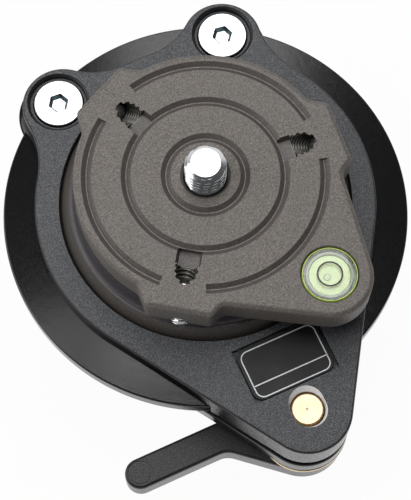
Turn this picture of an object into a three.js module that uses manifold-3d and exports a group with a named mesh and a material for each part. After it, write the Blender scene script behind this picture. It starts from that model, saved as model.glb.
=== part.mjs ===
// A camera leveler: a grooved plate on a half ball, held in a bowl by a clamp ring with a locking lever.
// Millimetres, +Z up, underside at z = 0. The nose of the clamp ring points along -Y.
import * as THREE from "three";
import { mergeVertices } from "three/addons/utils/BufferGeometryUtils.js";
import Module from "manifold-3d";

const wasm = await Module();
wasm.setup();

// Clearances, and how finely round things are cut
const gap = 0.3; // between pieces that touch
const overrun = 1.0; // how far a cutting shape passes the face that it cuts
const weld = 1e-4; // points closer than this are one point
const largeSides = 64;
const ballSides = 48;
const mediumSides = 32;
const smallSides = 20;
const hexSides = 6;
const seatArcSteps = 2;

// Ball
const ballRadius = 38.0;
const ballWall = 5.0;
const ballCentreHeight = 34.6;
const ballLowAngle = 28; // degrees below the widest line where the ball is cut off
const neckInset = 6.1; // of the neck's foot, from the widest line of the ball
const neckDraw = 1.7; // how far the neck draws in above its foot
const neckHeight = 7.3; // from the top of the clamp ring to the underside of the plate
const webThick = 8.0; // the solid crown of the ball under the plate
const ballArcSteps = 8;
const ballInnerSteps = 5;
// The neck's hollow, as shares of its height and of how far it draws in
const neckRiseShares = [0.3, 0.65];
const neckDrawShares = [0.62, 0.88];

// Seat rings, by the angles in degrees above the ball's widest line between which they lie
const seatThick = 1.0;
const lowerSeatAngles = [-23, -9];
const upperSeatAngles = [3, 11];

// Base: foot, bowl, rim, arm and two posts
const footHeight = 5.06; // where the round of the bowl begins
const footEdge = 0.6;
const bowlWall = 2.5;
const bowlArcSteps = 5;
const cavityArcSteps = 5;
const floorHeight = 8.5;
const floorCornerWidth = 1.8;
const floorCornerHeight = 4.0;
const rimOverhang = 6.0; // of the rim past the bowl
const rimWall = 4.2;
const rimDrop = 1.35; // how far the conical top falls from the clamp ring to the rim
const rimEdge = 0.4;
const rimFlare = 2.5; // the slope under the rim
const landMargin = 0.1; // from the clamp ring to where the cone starts
const armDrop = 2.7; // open space between the nose and the arm
const armThick = 5.4;
const postInset = 0.5; // from the side of the ear
const postHeight = 17.5;

// Bush with the female tripod thread, in a boss of the floor
const bushRadius = 7.7;
const bushBore = 4.15;
const bushLength = 12.0;
const bushLeadIn = 0.7;
const bossWall = 3.3;
const bossMargin = 1.7; // of the boss above the bush

// Clamp ring: ring, two ears and a nose
const openingInset = 4.1; // of the ring's opening, from the widest line of the ball
const lipGap = 0.35; // between the lip of the ring and the ball
const lipEdge = 0.4;
const clampWidth = 6.2;
const clampThick = 5.0;
const clampEdge = 1.0;
const earProud = 3.1; // of the ear's screw past the ring
const earSetBack = 1.2; // the round of the ear lies closer to the ball than its screw
const earHalfAngle = 30; // degrees each side of the back
const earRadius = 9.55;
const earOuterFillet = 22.0;
const earInnerFillet = 17.0;
const noseRadius = 10.3;
const noseThick = 10.6;

// Countersunk screws in the ears
const earScrewRadius = 3.0;
const earScrewHeadRadius = 5.85;
const earScrewHeadRim = 0.5;
const earScrewLength = 12.0;
const earScrewSink = 0.6; // how far the head lies below the top of the ear
const earScrewSocket = 4.0; // across flats
const earScrewSocketDepth = 2.4;
const earRecessMargin = 1.0; // round the head

// Label in its recess
const labelWidth = 20.4;
const labelThick = 0.6;
const labelMargin = 2.4; // from the ring's opening to the label
const labelToPocket = 0.5; // from the label to the pocket of the tie stud
const labelSink = 0.5; // from the top of the nose to the face of the label
const labelCorner = 1.2;

// Tie stud in its oblong pocket
const studRadius = 3.0;
const studHeadRadius = 3.75;
const studHeadThick = 2.7;
const studHeadEdge = 0.35;
const studHeadSink = 0.5;
const studTail = 0.6; // how far the stud passes the underside of the lever
const pocketMargin = 0.3; // at the sides of the head
const pocketStretch = 2.0; // how much longer than wide the pocket is
const pocketShift = 0.4; // the pocket lies a little closer to the ball than the stud does

// Thrust washer, lever and its nut
const washerRadius = 10.4;
const washerThick = 1.2;
const hubRadius = 10.0;
const hubGap = 3.0; // open space between the hub and the bowl
const leverThick = 7.2;
const leverReach = 39.1;
const leverWidth = 7.3;
const leverBend = 18.5;
const leverBendRadius = 5.0;
const leverEdge = 0.7;
const leverBoreMargin = 0.8; // round the stud
const nutFlats = 10.0;
const nutThick = 5.0;

// Top plate, its own angles counted from the first lobe
const plateTurn = -5.2; // degrees that the plate is turned at rest
const plateInset = 0.2; // from the side of the neck
const plateThick = 8.8;
const plateEdge = 1.2;
const lobeProud = 2.6;
const lobeHalfWidth = 7.4;
const lobeSpread = 2.5; // how much wider each side of the lobe is at its root
const lobeTaper = 4.0; // from the end of the lobe to its root
const lobeCorner = 1.0;
const lobeAngles = [0, 120, 240];
const grooveRadiusShares = [0.3, 0.6, 0.9]; // of the plate's radius
const grooveWidth = 2.2;
const grooveDepth = 0.85;
const grooveBreak = 10.2; // width of the plain stretch where a lobe breaks the outer groove

// Slots and slanted set screws
const slotWidth = 5.7; // its floor is round across
const slotDepth = 3.0;
const slotSides = 16;
const slotLength = 4.9; // from the middle of the second groove
const setScrewSetBack = 0.4; // from the end of the slot to where the screw's axis crosses the face
const setScrewSlant = 45; // degrees below the face
const setScrewRadius = 2.7;
const setScrewLength = 7.7;
const setScrewDepth = 3.9; // of the tip below the face, at rest
const setScrewTip = 0.7;
const setScrewSocket = 3.0;
const setScrewSocketDepth = 3.0;
const setScrewSides = 18;
const neckNotchMargin = 0.8; // round the screw, in the neck

// Bullseye level in its own lobe
const levelProud = 6.2; // of the level's centre past the round of the plate
const levelAngle = -60;
const levelRadius = 6.2;
const levelLobeWall = 3.6;
const levelPocketFloor = 1.7;
const levelCupWall = 0.5;
const levelCupFloor = 1.0;
const levelSink = 0.2; // of the cup's rim below the face of the plate
const levelWindowWall = 1.0;
const levelWindowTop = 0.9;
const levelDomeRise = 0.35;

// Camera stud, its washer, and the cap screws of the plate
const cameraStudRadius = 4.76;
const cameraStudPitch = 1.5875;
const cameraStudDepth = 0.85; // of the thread
const cameraStudHeight = 7.2; // above the plate
const cameraStudTip = 0.6;
const cameraStudTipTaper = 0.8;
const cameraStudCrests = 6;
const cameraStudHeadFlats = 14.3;
const cameraStudHeadThick = 5.6;
const countersinkWidth = 0.94; // from the stud to the edge
const countersinkDepth = 0.9;
const studWasherRadius = 9.5;
const studWasherThick = 1.5;
const capScrewMargin = 0.25; // between the washer and the head of the screw
const capScrewAngles = [60, 180, 300];
const capScrewRadius = 2.5;
const capScrewHeadRadius = 4.25;
const capScrewHeadHeight = 5.0;
const capScrewCover = 3.6; // of the plate above the end of the screw
const capScrewSocket = 4.0;
const capScrewSocketDepth = 2.6;

// Worked out from the sizes above
const degrees = THREE.MathUtils.degToRad;
const leg = (long, other) => Math.sqrt(long * long - other * other);
const neckFootRadius = ballRadius - neckInset;
const neckRadius = neckFootRadius - neckDraw;
const bowlInner = ballRadius + 2 * gap + seatThick;
const bowlOuter = bowlInner + bowlWall;
const footRadius = leg(bowlOuter, ballCentreHeight - footHeight);
const rimRadius = bowlOuter + rimOverhang;
const noseReach = bowlOuter + hubGap + hubRadius;
const openingRadius = ballRadius - openingInset;
const clampRadius = openingRadius + clampWidth;
const landRadius = clampRadius + landMargin;
const earReach = clampRadius + earProud;
const earRoundReach = earReach - earSetBack;
const postRadius = earRadius - postInset;
const pocketWidth = 2 * (studHeadRadius + pocketMargin);
const pocketLength = pocketWidth + pocketStretch;
const pocketNear = noseReach - pocketShift - pocketLength / 2;
const labelLength = pocketNear - labelToPocket - openingRadius - labelMargin;
const labelReach = openingRadius + labelMargin + labelLength / 2;
const bossRadius = bushRadius + bossWall;
const bossHeight = gap + bushLength + bossMargin;
const plateRadius = neckRadius - plateInset;
const lobeReach = plateRadius + lobeProud;
const lobeRootReach = lobeReach - lobeTaper;
const lobeRootHalfWidth = lobeHalfWidth + lobeSpread;
const grooveRadii = grooveRadiusShares.map((share) => share * plateRadius);
const slotOuterReach = grooveRadii[1] + slotLength;
const setScrewReach = slotOuterReach - setScrewSetBack;
const levelReach = plateRadius + levelProud;
const capScrewReach = studWasherRadius + capScrewMargin + capScrewHeadRadius;
const lipRadius = ballRadius + lipGap;
const lipHeight = ballCentreHeight + leg(lipRadius, openingRadius);
const clampTop = lipHeight + lipEdge;
const clampUnder = clampTop - clampThick;
const baseTop = clampUnder - gap;
const rimTop = baseTop - rimDrop;
const rimUnder = rimTop - rimWall;
const noseUnder = clampTop - noseThick;
const armTop = noseUnder - armDrop;
const armUnder = armTop - armThick;
const washerUnder = armUnder - gap - washerThick;
const leverTop = washerUnder - gap;
const leverUnder = leverTop - leverThick;
const plateUnder = clampTop + neckHeight;
const plateTop = plateUnder + plateThick;
const ballTop = plateUnder - gap;
const webUnder = ballTop - webThick;
const capScrewEnd = plateTop - capScrewCover;
const pocketFloor = clampTop - studHeadSink - studHeadThick - gap;

// A point on a ball or round wall about the centre of the ball, by its angle above the widest line
function onSphere(radius, angle) {
  const turn = degrees(angle);
  return [radius * Math.cos(turn), ballCentreHeight + radius * Math.sin(turn)];
}

// Points of a round wall from one angle to another
function sphereArc(radius, from, to, steps) {
  const points = [];
  for (let i = 0; i <= steps; i++) points.push(onSphere(radius, from + ((to - from) * i) / steps));
  return points;
}

// The angle above the widest line at which a sphere reaches a height
function angleAt(radius, height) {
  return THREE.MathUtils.radToDeg(Math.asin((height - ballCentreHeight) / radius));
}

// A plan point from its distance and angle in degrees
function polar(reach, angle) {
  return [reach * Math.cos(degrees(angle)), reach * Math.sin(degrees(angle))];
}

// Points of a plan arc, with a step at least as fine as a circle of the given sides
function arc(x, y, radius, from, to, sides = largeSides) {
  const steps = Math.max(1, Math.ceil((Math.abs(to - from) / 360) * sides));
  const points = [];
  for (let i = 0; i <= steps; i++) {
    const [dx, dy] = polar(radius, from + ((to - from) * i) / steps);
    points.push([x + dx, y + dy]);
  }
  return points;
}

// A three.js geometry as a solid that can be cut and joined
function solid(geometry) {
  const bare = geometry.clone();
  bare.deleteAttribute("normal");
  bare.deleteAttribute("uv");
  const merged = mergeVertices(bare, weld);
  return new wasm.Manifold(
    new wasm.Mesh({
      numProp: 3,
      vertProperties: new Float32Array(merged.attributes.position.array),
      triVerts: new Uint32Array(merged.index.array),
    }),
  );
}

// A closed profile of [radius, height] points, turned about Z: up the outside, down the inside
function turned(points, sides = largeSides) {
  const first = points[0];
  const last = points[points.length - 1];
  const onAxis = first[0] === 0 && last[0] === 0;
  const closed = onAxis ? points : [...points, first];
  const profile = closed.map(([r, z]) => new THREE.Vector2(r, z));
  return solid(new THREE.LatheGeometry(profile, sides).rotateX(Math.PI / 2));
}

// A plan outline raised from one height to another, with a bevel on its edges
function raised(points, from, to, edge = 0) {
  const shape = new THREE.Shape(points.map(([x, y]) => new THREE.Vector2(x, y)));
  const geometry = new THREE.ExtrudeGeometry(shape, {
    depth: to - from - 2 * edge,
    bevelEnabled: edge > 0,
    bevelThickness: edge,
    bevelSize: edge,
    bevelOffset: -edge,
    bevelSegments: 1,
  });
  return solid(geometry.translate(0, 0, from + edge));
}

function cylinder(radius, from, to, sides = smallSides) {
  return turned([[0, from], [radius, from], [radius, to], [0, to]], sides);
}

// A hexagonal prism, by its size across flats
function hexagon(flats, from, to) {
  return cylinder(flats / 2 / Math.cos(Math.PI / hexSides), from, to, hexSides);
}

// A block on +X from one distance to another, centred on the axis
function block(near, far, width, from, to) {
  const side = width / 2;
  return raised([[near, -side], [far, -side], [far, side], [near, side]], from, to);
}

function moved(shape, x, y, z = 0) {
  return shape.translate([x, y, z]);
}

function spun(shape, angle) {
  return shape.rotate([0, 0, angle]);
}

function joined(...shapes) {
  return shapes.reduce((all, shape) => all.add(shape));
}

function cut(shape, ...tools) {
  return tools.reduce((left, tool) => left.subtract(tool), shape);
}

// The outline round a small circle on -Y and a large one at the centre, along the lines that touch both
function noseOutline(largeRadius, smallRadius, reach, sides) {
  const lean = THREE.MathUtils.radToDeg(Math.asin((largeRadius - smallRadius) / reach));
  const left = polar(largeRadius, 180 + lean);
  const right = polar(largeRadius, -lean);
  return [[0, 0], left, ...arc(0, -reach, smallRadius, 180 + lean, 360 - lean, sides), right];
}

function circle(radius, sides = largeSides) {
  return arc(0, 0, radius, 0, 360, sides).slice(1);
}

// A rectangle with round corners about the centre
function roundedRectangle(width, length, corner, sides) {
  const x = width / 2 - corner;
  const y = length / 2 - corner;
  return [
    ...arc(x, y, corner, 0, 90, sides),
    ...arc(-x, y, corner, 90, 180, sides),
    ...arc(-x, -y, corner, 180, 270, sides),
    ...arc(x, -y, corner, 270, 360, sides),
  ];
}

const ear = polar(earRoundReach, 90 - earHalfAngle);
const bothSides = ([x, y]) => [[-x, y], [x, y]];
const ears = bothSides(ear);
const earScrews = bothSides(polar(earReach, 90 - earHalfAngle));

// The centre of a fillet between the ring and an ear, on the outer or the inner side of the ear
function filletCentre(fillet, side) {
  const fromRing = clampRadius + fillet;
  const fromEar = earRadius + fillet;
  const squares = fromRing * fromRing + earRoundReach * earRoundReach - fromEar * fromEar;
  const cosine = squares / (2 * fromRing * earRoundReach);
  const angle = 90 - earHalfAngle - side * THREE.MathUtils.radToDeg(Math.acos(cosine));
  return { angle, at: polar(fromRing, angle) };
}

function angleOf(from, to) {
  return THREE.MathUtils.radToDeg(Math.atan2(to[1] - from[1], to[0] - from[0]));
}

// Ring, ears and the fillets between them, as one outline with no nose
function clampOutline() {
  const outer = filletCentre(earOuterFillet, 1);
  const inner = filletCentre(earInnerFillet, -1);
  const half = [
    ...arc(0, 0, clampRadius, -90, outer.angle),
    ...arc(...outer.at, earOuterFillet, outer.angle + 180, angleOf(outer.at, ear)).slice(1),
    ...arc(...ear, earRadius, angleOf(ear, outer.at), angleOf(ear, inner.at), mediumSides).slice(1),
    ...arc(...inner.at, earInnerFillet, angleOf(inner.at, ear), inner.angle - 180).slice(1),
    ...arc(0, 0, clampRadius, inner.angle, 90).slice(1),
  ];
  const other = half.slice(1, -1).reverse().map(([x, y]) => [-x, y]);
  return [...half, ...other];
}

// Foot, bowl and rim in one casting, with a pad and a post under each ear and the arm under the nose
function makeBase() {
  const bowlLow = -THREE.MathUtils.radToDeg(Math.acos(footRadius / bowlOuter));
  const outside = turned([
    [0, 0],
    [footRadius - footEdge, 0],
    [footRadius, footEdge],
    ...sphereArc(bowlOuter, bowlLow, 0, bowlArcSteps),
    [bowlOuter, rimUnder - rimFlare],
    [rimRadius, rimUnder],
    [rimRadius, rimTop - rimEdge],
    [rimRadius - rimEdge, rimTop],
    [landRadius, baseTop],
    [0, baseTop],
  ]);
  const post = cylinder(postRadius, baseTop - postHeight, baseTop, mediumSides);
  const posts = ears.map(([x, y]) => moved(post, x, y));
  const pads = raised(clampOutline(), rimUnder, baseTop);
  const arm = raised(noseOutline(clampRadius, noseRadius, noseReach), armUnder, armTop, clampEdge / 2);
  const cavityTop = angleAt(bowlInner, baseTop);
  const cavityLow = angleAt(bowlInner, floorHeight + floorCornerHeight);
  const cavityRound = sphereArc(bowlInner, cavityLow, cavityTop, cavityArcSteps);
  const cavity = turned([
    [0, bossHeight],
    [bossRadius, bossHeight],
    [bossRadius, floorHeight],
    [cavityRound[0][0] - floorCornerWidth, floorHeight],
    ...cavityRound,
    [cavityRound.at(-1)[0], baseTop + overrun],
    [0, baseTop + overrun],
  ], ballSides);
  const screwFoot = clampTop - earScrewSink - earScrewLength;
  const screwHole = cylinder(earScrewRadius + gap, screwFoot - overrun, baseTop + overrun);
  const screwHoles = earScrews.map(([x, y]) => moved(screwHole, x, y));
  const studHole = moved(cylinder(studRadius + gap, armUnder - overrun, armTop + overrun), 0, -noseReach);
  const bushHole = cylinder(bushRadius + gap, -overrun, bossHeight + overrun, mediumSides);
  return cut(joined(outside, pads, ...posts, arm), cavity, ...screwHoles, studHole, bushHole);
}

function makeBush() {
  const low = gap;
  const high = low + bushLength;
  return turned([
    [bushBore + bushLeadIn, low],
    [bushRadius, low],
    [bushRadius, high],
    [bushBore, high],
    [bushBore, low + bushLeadIn],
  ], mediumSides);
}

// A liner between two angles, running on the ball and in the bowl
function makeSeat([from, to]) {
  const inner = ballRadius + gap;
  const up = sphereArc(inner + seatThick, from, to, seatArcSteps);
  const down = sphereArc(inner, to, from, seatArcSteps);
  return turned([...up, ...down], ballSides);
}

// A countersunk screw with its head's top at z = 0
function makeEarScrew() {
  const coneHeight = earScrewHeadRadius - earScrewRadius;
  const screw = turned([
    [0, -earScrewLength],
    [earScrewRadius, -earScrewLength],
    [earScrewRadius, -earScrewHeadRim - coneHeight],
    [earScrewHeadRadius, -earScrewHeadRim],
    [earScrewHeadRadius, 0],
    [0, 0],
  ], mediumSides);
  return cut(screw, hexagon(earScrewSocket, -earScrewSocketDepth, overrun));
}

function makeClamp() {
  const ring = raised(clampOutline(), clampUnder, clampTop, clampEdge);
  const nose = raised(noseOutline(clampRadius, noseRadius, noseReach), noseUnder, clampTop, clampEdge);
  const underRim = cylinder(rimRadius + gap, noseUnder - overrun, clampUnder, largeSides);
  const low = angleAt(lipRadius, clampUnder - overrun);
  const high = angleAt(lipRadius, lipHeight);
  const opening = turned([
    [0, clampUnder - overrun],
    ...sphereArc(lipRadius, low, high, seatArcSteps),
    [openingRadius + lipEdge, clampTop],
    [openingRadius + lipEdge, clampTop + overrun],
    [0, clampTop + overrun],
  ], ballSides);
  const coneTop = clampTop - earScrewSink - earScrewHeadRim - gap;
  const coneHeight = earScrewHeadRadius - earScrewRadius;
  const recessRadius = earScrewHeadRadius + earRecessMargin;
  const earHole = turned([
    [0, clampUnder - overrun],
    [earScrewRadius + gap, clampUnder - overrun],
    [earScrewRadius + gap, coneTop - coneHeight],
    [earScrewHeadRadius + gap, coneTop],
    [recessRadius, coneTop],
    [recessRadius, clampTop + overrun],
    [0, clampTop + overrun],
  ], mediumSides);
  const earHoles = earScrews.map(([x, y]) => moved(earHole, x, y));
  const recessFloor = clampTop - labelSink - labelThick - gap;
  const recessWidth = labelWidth + 2 * gap;
  const recessOutline = roundedRectangle(recessWidth, labelLength + 2 * gap, labelCorner, smallSides);
  const recess = moved(raised(recessOutline, recessFloor, clampTop + overrun), 0, -labelReach);
  const pocketOutline = roundedRectangle(pocketWidth, pocketLength, pocketWidth / 2, mediumSides);
  const pocket = raised(pocketOutline, pocketFloor, clampTop + overrun);
  const studHole = cylinder(studRadius + gap, noseUnder - overrun, clampTop);
  return cut(
    joined(ring, nose),
    underRim,
    opening,
    ...earHoles,
    recess,
    moved(pocket, 0, pocketShift - noseReach),
    moved(studHole, 0, -noseReach),
  );
}

function makeLabel() {
  const top = clampTop - labelSink;
  return raised(roundedRectangle(labelWidth, labelLength, labelCorner, smallSides), top - labelThick, top);
}

function makeTieStud() {
  const headTop = clampTop - studHeadSink;
  const headUnder = headTop - studHeadThick;
  const foot = leverUnder - studTail;
  return turned([
    [0, foot],
    [studRadius, foot],
    [studRadius, headUnder],
    [studHeadRadius, headUnder],
    [studHeadRadius, headTop - studHeadEdge],
    [studHeadRadius - studHeadEdge, headTop],
    [0, headTop],
  ], smallSides);
}

function makeThrustWasher() {
  const top = washerUnder + washerThick;
  const washer = cylinder(washerRadius, washerUnder, top, mediumSides);
  return cut(washer, cylinder(studRadius + gap, washerUnder - overrun, top + overrun));
}

// The lever in plan, about its pivot: a hub, and an arm along -X whose upper edge touches the hub
function leverOutline() {
  const armTopEdge = hubRadius;
  const armLowEdge = hubRadius - leverWidth;
  const endRadius = leverWidth / 2;
  const bendReach = Math.hypot(leverBend, armLowEdge);
  const down = THREE.MathUtils.radToDeg(Math.asin(hubRadius / bendReach) + Math.atan2(armLowEdge, leverBend));
  const hubStart = 270 - down;
  const setBack = leverBendRadius * Math.tan(degrees(down) / 2);
  const bendX = -leverBend - setBack;
  return [
    ...arc(-leverReach, armTopEdge - endRadius, endRadius, 90, 270, mediumSides),
    ...arc(bendX, armLowEdge - leverBendRadius, leverBendRadius, 90, 90 - down, mediumSides),
    ...arc(0, 0, hubRadius, hubStart, 450, mediumSides),
  ];
}

function makeLever() {
  const body = raised(leverOutline(), leverUnder, leverTop, leverEdge);
  const bore = cylinder(studRadius + leverBoreMargin, leverUnder - overrun, leverTop + overrun);
  const nutPocket = hexagon(nutFlats + 2 * gap, leverUnder - overrun, leverUnder + nutThick + gap);
  return cut(body, bore, nutPocket);
}

function makeLeverNut() {
  const nut = hexagon(nutFlats, leverUnder, leverUnder + nutThick);
  return cut(nut, cylinder(studRadius + gap, leverUnder - overrun, leverUnder + nutThick + overrun));
}

// A shape along Z from the face down, laid on the slanted axis of the set screw on +X
function onSlant(shape) {
  return moved(shape.rotate([0, setScrewSlant - 90, 0]), setScrewReach, 0, plateTop);
}

// The solid crown has the neck's hollow outside, and the inside of the ball is open below
function makeBall() {
  const inner = ballRadius - ballWall;
  const low = onSphere(ballRadius, -ballLowAngle)[1];
  const neckFoot = ballCentreHeight + leg(ballRadius, neckFootRadius);
  const neckRise = ballTop - neckFoot;
  const neck = neckRiseShares.map((rise, i) => [
    neckFootRadius - neckDraw * neckDrawShares[i],
    neckFoot + neckRise * rise,
  ]);
  const body = turned([
    ...sphereArc(ballRadius, -ballLowAngle, angleAt(ballRadius, neckFoot), ballArcSteps),
    ...neck,
    [neckRadius, ballTop],
    [cameraStudRadius + gap, ballTop],
    [cameraStudRadius + gap, webUnder],
    ...sphereArc(inner, angleAt(inner, webUnder), angleAt(inner, low), ballInnerSteps),
  ], ballSides);
  const screwHole = cylinder(capScrewRadius + gap, webUnder - overrun, ballTop + overrun);
  const screwHoles = capScrewAngles.map((angle) => moved(screwHole, ...polar(capScrewReach, angle)));
  const notchLength = setScrewDepth + 2 * setScrewLength;
  const notch = onSlant(cylinder(setScrewRadius + neckNotchMargin, -notchLength, -plateThick));
  const notches = lobeAngles.map((angle) => spun(notch, angle));
  return cut(body, ...screwHoles, ...notches);
}

// A ring of triangular section that cuts one groove
function grooveTool(radius) {
  const half = grooveWidth / 2;
  const spread = 1 + overrun / grooveDepth;
  return turned([
    [radius, plateTop - grooveDepth],
    [radius + half * spread, plateTop + overrun],
    [radius - half * spread, plateTop + overrun],
  ], ballSides);
}

// One lobe on +X, with its corners taken off
function lobeOutline() {
  const slope = (lobeRootHalfWidth - lobeHalfWidth) / (lobeReach - lobeRootReach);
  const shoulder = lobeHalfWidth + lobeCorner * slope;
  return [
    [0, -lobeRootHalfWidth],
    [lobeRootReach, -lobeRootHalfWidth],
    [lobeReach - lobeCorner, -shoulder],
    [lobeReach, lobeCorner - lobeHalfWidth],
    [lobeReach, lobeHalfWidth - lobeCorner],
    [lobeReach - lobeCorner, shoulder],
    [lobeRootReach, lobeRootHalfWidth],
    [0, lobeRootHalfWidth],
  ];
}

// A channel with a round floor, from the second groove out to the hole of the set screw
function slotTool() {
  const middle = plateTop - slotDepth + slotWidth / 2;
  const floor = cylinder(slotWidth / 2, grooveRadii[1], slotOuterReach, slotSides).rotate([0, 90, 0]);
  const mouth = block(grooveRadii[1], slotOuterReach, slotWidth, middle, plateTop + overrun);
  return joined(moved(floor, 0, 0, middle), mouth);
}

function makePlate() {
  const disc = raised(circle(plateRadius), plateUnder, plateTop, plateEdge);
  const lobe = raised(lobeOutline(), plateUnder, plateTop, plateEdge);
  const lobes = lobeAngles.map((angle) => spun(lobe, angle));
  const levelOutline = noseOutline(plateRadius, levelRadius + levelLobeWall, levelReach);
  const levelLobe = spun(raised(levelOutline, plateUnder, plateTop, plateEdge), 90 + levelAngle);
  const grooves = grooveRadii.map(grooveTool);
  const plainStretch = block(0, lobeReach, grooveBreak, plateUnder, plateTop + 2 * overrun);
  const breaks = lobeAngles.map((angle) => spun(plainStretch, angle));
  const outerGroove = cut(grooves.pop(), ...breaks);
  const slots = lobeAngles.map((angle) => spun(slotTool(), angle));
  const holeLength = 2 * plateThick;
  const setScrewHole = onSlant(cylinder(setScrewRadius + gap, -holeLength, setScrewRadius, setScrewSides));
  const setScrewHoles = lobeAngles.map((angle) => spun(setScrewHole, angle));
  const studHole = turned([
    [0, plateUnder - overrun],
    [cameraStudRadius + gap, plateUnder - overrun],
    [cameraStudRadius + gap, plateTop - countersinkDepth],
    [cameraStudRadius + countersinkWidth, plateTop],
    [cameraStudRadius + countersinkWidth, plateTop + overrun],
    [0, plateTop + overrun],
  ], mediumSides);
  const capHole = cylinder(capScrewRadius + gap, plateUnder - overrun, capScrewEnd + gap);
  const capHoles = capScrewAngles.map((angle) => moved(capHole, ...polar(capScrewReach, angle)));
  const levelPocket = cylinder(levelRadius + gap, levelFoot - gap, plateTop + overrun, mediumSides);
  return cut(
    joined(disc, ...lobes, levelLobe),
    ...grooves,
    outerGroove,
    ...slots,
    ...setScrewHoles,
    studHole,
    ...capHoles,
    moved(levelPocket, ...polar(levelReach, levelAngle)),
  );
}

// A set screw along Z, with its tip up at the given depth below z = 0 along the axis
function makeSetScrew() {
  const top = -setScrewDepth / Math.sin(degrees(setScrewSlant));
  const foot = top - setScrewLength;
  const body = turned([
    [0, foot],
    [setScrewRadius, foot],
    [setScrewRadius, top - setScrewTip],
    [setScrewRadius - setScrewTip, top],
    [0, top],
  ], setScrewSides);
  return onSlant(cut(body, hexagon(setScrewSocket, foot - overrun, foot + setScrewSocketDepth)));
}

const levelFoot = plateUnder + levelPocketFloor + gap;
const windowRadius = levelRadius - levelCupWall - gap;
const windowFoot = levelFoot + levelCupFloor + gap;
const windowTop = plateTop - levelSink;
const chamberRadius = windowRadius - levelWindowWall;
const chamberTop = windowTop - levelWindowTop;

function makeLevelCup() {
  const inner = levelRadius - levelCupWall;
  return turned([
    [0, levelFoot],
    [levelRadius, levelFoot],
    [levelRadius, windowTop],
    [inner, windowTop],
    [inner, levelFoot + levelCupFloor],
    [0, levelFoot + levelCupFloor],
  ], mediumSides);
}

// A clear cap that holds the fluid from above, with a slightly domed top
function makeLevelWindow() {
  return turned([
    [chamberRadius, windowFoot],
    [windowRadius, windowFoot],
    [windowRadius, windowTop],
    [chamberRadius, windowTop + levelDomeRise],
    [0, windowTop + levelDomeRise],
    [0, chamberTop],
    [chamberRadius, chamberTop],
    [chamberRadius, windowFoot],
  ], mediumSides);
}

function makeLevelFluid() {
  return cylinder(chamberRadius - gap, windowFoot, chamberTop - gap, mediumSides);
}

// The stud has a coarse thread where it shows, a plain shank in the ball and a hexagonal head below
function makeCameraStud() {
  const tip = plateTop + cameraStudHeight;
  const root = cameraStudRadius - cameraStudDepth;
  const headTop = webUnder - studWasherThick - 2 * gap;
  const crestTop = tip - cameraStudTip;
  const threads = [];
  for (let i = cameraStudCrests; i > 0; i--) {
    const crest = crestTop - i * cameraStudPitch;
    threads.push([root, crest - cameraStudPitch / 2]);
    threads.push([cameraStudRadius, crest]);
  }
  const shank = turned([
    [0, headTop],
    [cameraStudRadius, headTop],
    [cameraStudRadius, threads[0][1] - cameraStudDepth],
    ...threads,
    [root, crestTop - cameraStudPitch / 2],
    [root, crestTop],
    [root - cameraStudTipTaper, tip],
    [0, tip],
  ], smallSides);
  return joined(shank, hexagon(cameraStudHeadFlats, headTop - cameraStudHeadThick, headTop));
}

function makeStudWasher() {
  const top = webUnder - gap;
  const washer = cylinder(studWasherRadius, top - studWasherThick, top, mediumSides);
  return cut(washer, cylinder(cameraStudRadius + gap, top - studWasherThick - overrun, top + overrun));
}

function makeCapScrew() {
  const headTop = webUnder - gap;
  const foot = headTop - capScrewHeadHeight;
  const body = turned([
    [0, foot],
    [capScrewHeadRadius, foot],
    [capScrewHeadRadius, headTop],
    [capScrewRadius, headTop],
    [capScrewRadius, capScrewEnd],
    [0, capScrewEnd],
  ], smallSides);
  return cut(body, hexagon(capScrewSocket, foot - overrun, foot + capScrewSocketDepth));
}

const finishes = {
  crackleBlack: { color: 0x26282b, roughness: 0.55, metalness: 0.1 },
  bronzeGrey: { color: 0x766e67, roughness: 0.6, metalness: 0.35 },
  ballGrey: { color: 0x4a4742, roughness: 0.45, metalness: 0.4 },
  zinc: { color: 0xd8dade, roughness: 0.25, metalness: 1.0 },
  brass: { color: 0xc9a24a, roughness: 0.3, metalness: 1.0 },
  nylon: { color: 0xe6e2d6, roughness: 0.6, metalness: 0.0 },
  label: { color: 0x1d1f22, roughness: 0.4, metalness: 0.1 },
  levelGreen: { color: 0xbfd36a, roughness: 0.3, metalness: 0.0 },
  levelFluid: { color: 0xd6e8a0, roughness: 0.1, metalness: 0.0 },
  clear: { color: 0xe8eee6, roughness: 0.05, metalness: 0.0 },
};

// A solid as a named mesh with one of the finishes
function piece(name, shape, finish) {
  const { vertProperties, triVerts } = shape.getMesh();
  const geometry = new THREE.BufferGeometry();
  geometry.setAttribute("position", new THREE.BufferAttribute(new Float32Array(vertProperties), 3));
  geometry.setIndex(new THREE.BufferAttribute(new Uint32Array(triVerts), 1));
  geometry.computeVertexNormals();
  const mesh = new THREE.Mesh(geometry, new THREE.MeshStandardMaterial(finishes[finish]));
  mesh.name = name;
  return mesh;
}

function placed(mesh, x, y, z = 0) {
  mesh.position.set(x, y, z);
  return mesh;
}

const group = new THREE.Group();

const base = new THREE.Group();
base.add(piece("base_body", makeBase(), "crackleBlack"));
base.add(piece("tripod_bush", makeBush(), "zinc"));
const earScrewTop = clampTop - earScrewSink;
base.add(placed(piece("ear_screw_left", makeEarScrew(), "zinc"), ...earScrews[0], earScrewTop));
base.add(placed(piece("ear_screw_right", makeEarScrew(), "zinc"), ...earScrews[1], earScrewTop));
base.add(piece("lower_seat_ring", makeSeat(lowerSeatAngles), "nylon"));
base.add(piece("upper_seat_ring", makeSeat(upperSeatAngles), "nylon"));

const clamp = new THREE.Group();
clamp.add(piece("clamp_ring", makeClamp(), "crackleBlack"));
clamp.add(placed(piece("label_plate", makeLabel(), "label"), 0, -labelReach));
clamp.add(placed(piece("tie_stud", makeTieStud(), "brass"), 0, -noseReach));

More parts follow.
